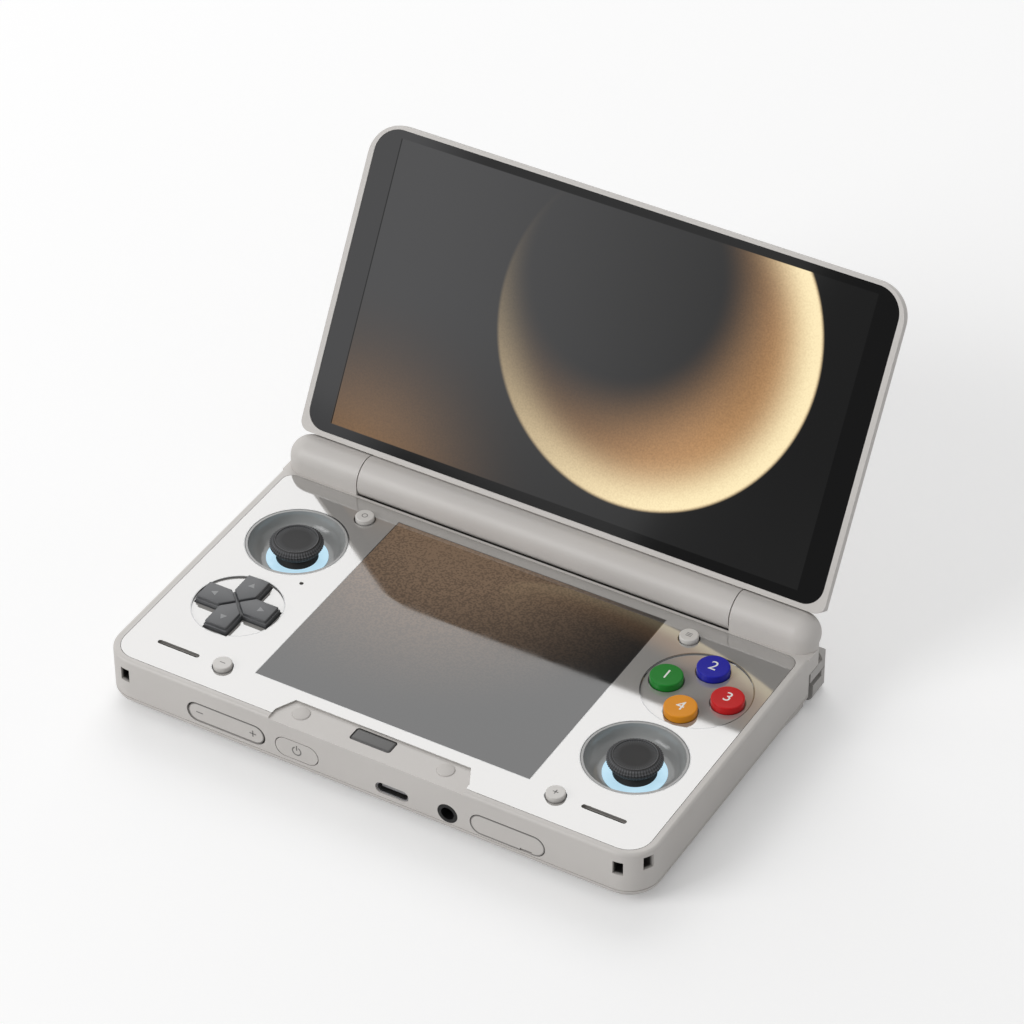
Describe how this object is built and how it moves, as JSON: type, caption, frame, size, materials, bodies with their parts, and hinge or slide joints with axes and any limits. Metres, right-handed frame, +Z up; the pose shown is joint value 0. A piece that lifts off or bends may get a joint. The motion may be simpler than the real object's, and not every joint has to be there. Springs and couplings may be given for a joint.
{
  "type": "clamshell handheld game console",
  "caption": "Clamshell handheld game console with a wide upper screen in a hinged lid, a lower screen, sticks, direction pad, face buttons, bumpers and triggers.",
  "frame": {"origin": "middle of the open console's footprint, on the plane its four feet rest on", "axes": "+X to the player's right, +Y back towards the hinge, +Z up"},
  "size_m": [0.15, 0.1345, 0.0953],
  "materials": {
    "housing": "fine satin texture",
    "cover": "fine satin texture",
    "plate": "polished",
    "glass": "polished, dark",
    "panel": "dark",
    "board": "solder mask",
    "cell": "wrapped",
    "metal": "brushed",
    "alloy": "satin",
    "black": "matte",
    "charcoal": "satin",
    "well": "glossy",
    "lit": "translucent, lit",
    "button": "satin",
    "rubber": "matte"
  },
  "bodies": {
    "base": {"base_frame": "housing", "bottom_cover": "cover", "face_plate": "plate", "lower_glass": "glass", "lower_display": "panel", "main_board": "board", "battery": "cell", "processor": "metal", "heat_sink": "alloy", "fan_housing": "black", "usb_port": "metal", "headphone_jack": "charcoal", "card_reader": "metal", "key_board": "board", "speakers": "black", "speaker_mesh": "black", "badge": "charcoal", "notch_pads": "rubber", "rubber_feet": "rubber", "cover_screws": "metal", "stick_wells": "well", "light_rings": "lit", "stick_bases": "metal", "tact_switches": "metal", "button_boards": "board", "button_membranes": "rubber", "trigger_brackets": "charcoal", "left_hinge_pin": "metal", "right_hinge_pin": "metal"},
    "lid": {"lid_back_cover": "housing", "upper_glass": "glass", "upper_display": "panel", "lid_stiffener": "alloy", "lid_magnets": "metal"},
    "fan_rotor": {"fan_rotor": "black"},
    "card_cover": {"card_cover": "housing"},
    "volume_rocker": {"volume_rocker": "button"},
    "power_button": {"power_button": "button"},
    "left_stick_yoke": {"left_stick_yoke": "black"},
    "right_stick_yoke": {"right_stick_yoke": "black"},
    "left_stick_shaft": {"left_stick_shaft": "black"},
    "right_stick_shaft": {"right_stick_shaft": "black"},
    "left_stick_cap": {"left_stick_cap": "charcoal"},
    "right_stick_cap": {"right_stick_cap": "charcoal"},
    "dpad_ball": {"dpad_ball": "metal"},
    "dpad": {"dpad": "charcoal"},
    "button_top": {"button_top": "button"},
    "button_right": {"button_right": "button"},
    "button_bottom": {"button_bottom": "button"},
    "button_left": {"button_left": "button"},
    "left_upper_button": {"left_upper_button": "button"},
    "left_lower_button": {"left_lower_button": "button"},
    "right_upper_button": {"right_upper_button": "button"},
    "right_lower_button": {"right_lower_button": "button"},
    "left_bumper": {"left_bumper": "button"},
    "right_bumper": {"right_bumper": "button"},
    "left_trigger": {"left_trigger": "button"},
    "right_trigger": {"right_trigger": "button"}
  },
  "joints": [
    {"name": "lid_open", "type": "hinge", "parent": "base", "child": "lid", "pos_m": [0, 0.02024, 0.019], "axis": [-1, 0, 0], "range_deg": [-119.85, 30.15]},
    {"name": "fan_spin", "type": "hinge", "parent": "base", "child": "fan_rotor", "pos_m": [0, -0.00326, 0.005], "axis": [0, 0, 1], "continuous": true},
    {"name": "left_stick_fore_aft", "type": "hinge", "parent": "base", "child": "left_stick_yoke", "pos_m": [-0.05615, -0.00831, 0.0082], "axis": [1, 0, 0], "range_deg": [-10, 10], "stiffness_Nm_per_rad": 0.01},
    {"name": "left_stick_sideways", "type": "hinge", "parent": "left_stick_yoke", "child": "left_stick_shaft", "pos_m": [-0.05615, -0.00831, 0.0082], "axis": [0, 1, 0], "range_deg": [-10, 10], "stiffness_Nm_per_rad": 0.01},
    {"name": "left_stick_click", "type": "slide", "parent": "left_stick_shaft", "child": "left_stick_cap", "axis": [0, 0, -1], "range_m": [0, 0.0003], "stiffness_N_per_m": 400},
    {"name": "right_stick_fore_aft", "type": "hinge", "parent": "base", "child": "right_stick_yoke", "pos_m": [0.05565, -0.03646, 0.0082], "axis": [1, 0, 0], "range_deg": [-10, 10], "stiffness_Nm_per_rad": 0.01},
    {"name": "right_stick_sideways", "type": "hinge", "parent": "right_stick_yoke", "child": "right_stick_shaft", "pos_m": [0.05565, -0.03646, 0.0082], "axis": [0, 1, 0], "range_deg": [-10, 10], "stiffness_Nm_per_rad": 0.01},
    {"name": "right_stick_click", "type": "slide", "parent": "right_stick_shaft", "child": "right_stick_cap", "axis": [0, 0, -1], "range_m": [0, 0.0003], "stiffness_N_per_m": 400},
    {"name": "dpad_fore_aft", "type": "hinge", "parent": "base", "child": "dpad_ball", "pos_m": [-0.0553, -0.03646, 0.0133], "axis": [1, 0, 0], "range_deg": [-3, 3], "stiffness_Nm_per_rad": 0.05},
    {"name": "dpad_sideways", "type": "hinge", "parent": "dpad_ball", "child": "dpad", "pos_m": [-0.0553, -0.03646, 0.0133], "axis": [0, 1, 0], "range_deg": [-3, 3], "stiffness_Nm_per_rad": 0.05},
    {"name": "button_top_press", "type": "slide", "parent": "base", "child": "button_top", "axis": [0, 0, -1], "range_m": [0, 0.001], "stiffness_N_per_m": 300},
    {"name": "button_right_press", "type": "slide", "parent": "base", "child": "button_right", "axis": [0, 0, -1], "range_m": [0, 0.001], "stiffness_N_per_m": 300},
    {"name": "button_bottom_press", "type": "slide", "parent": "base", "child": "button_bottom", "axis": [0, 0, -1], "range_m": [0, 0.001], "stiffness_N_per_m": 300},
    {"name": "button_left_press", "type": "slide", "parent": "base", "child": "button_left", "axis": [0, 0, -1], "range_m": [0, 0.001], "stiffness_N_per_m": 300},
    {"name": "left_upper_press", "type": "slide", "parent": "base", "child": "left_upper_button", "axis": [0, 0, -1], "range_m": [0, 0.0006], "stiffness_N_per_m": 400},
    {"name": "left_lower_press", "type": "slide", "parent": "base", "child": "left_lower_button", "axis": [0, 0, -1], "range_m": [0, 0.0006], "stiffness_N_per_m": 400},
    {"name": "right_upper_press", "type": "slide", "parent": "base", "child": "right_upper_button", "axis": [0, 0, -1], "range_m": [0, 0.0006], "stiffness_N_per_m": 400},
    {"name": "right_lower_press", "type": "slide", "parent": "base", "child": "right_lower_button", "axis": [0, 0, -1], "range_m": [0, 0.0006], "stiffness_N_per_m": 400},
    {"name": "volume_rock", "type": "hinge", "parent": "base", "child": "volume_rocker", "pos_m": [-0.0391, -0.06356, 0.0086], "axis": [0, 0, 1], "range_deg": [-3, 3], "stiffness_Nm_per_rad": 0.05},
    {"name": "power_press", "type": "slide", "parent": "base", "child": "power_button", "axis": [0, 1, 0], "range_m": [0, 0.00035], "stiffness_N_per_m": 500},
    {"name": "card_cover_pull", "type": "slide", "parent": "base", "child": "card_cover", "axis": [0, -1, 0], "range_m": [0, 0.005]},
    {"name": "left_bumper_press", "type": "hinge", "parent": "base", "child": "left_bumper", "pos_m": [-0.0535, 0.01924, 0.0095], "axis": [0, 0, 1], "range_deg": [0, 1.5], "stiffness_Nm_per_rad": 0.5},
    {"name": "right_bumper_press", "type": "hinge", "parent": "base", "child": "right_bumper", "pos_m": [0.0535, 0.01924, 0.0095], "axis": [0, 0, -1], "range_deg": [0, 1.5], "stiffness_Nm_per_rad": 0.5},
    {"name": "left_trigger_pull", "type": "hinge", "parent": "base", "child": "left_trigger", "pos_m": [-0.0625, 0.02324, 0.005], "axis": [-1, 0, 0], "range_deg": [0, 8], "stiffness_Nm_per_rad": 0.1},
    {"name": "right_trigger_pull", "type": "hinge", "parent": "base", "child": "right_trigger", "pos_m": [0.0625, 0.02324, 0.005], "axis": [-1, 0, 0], "range_deg": [0, 8], "stiffness_Nm_per_rad": 0.1}
  ]
}
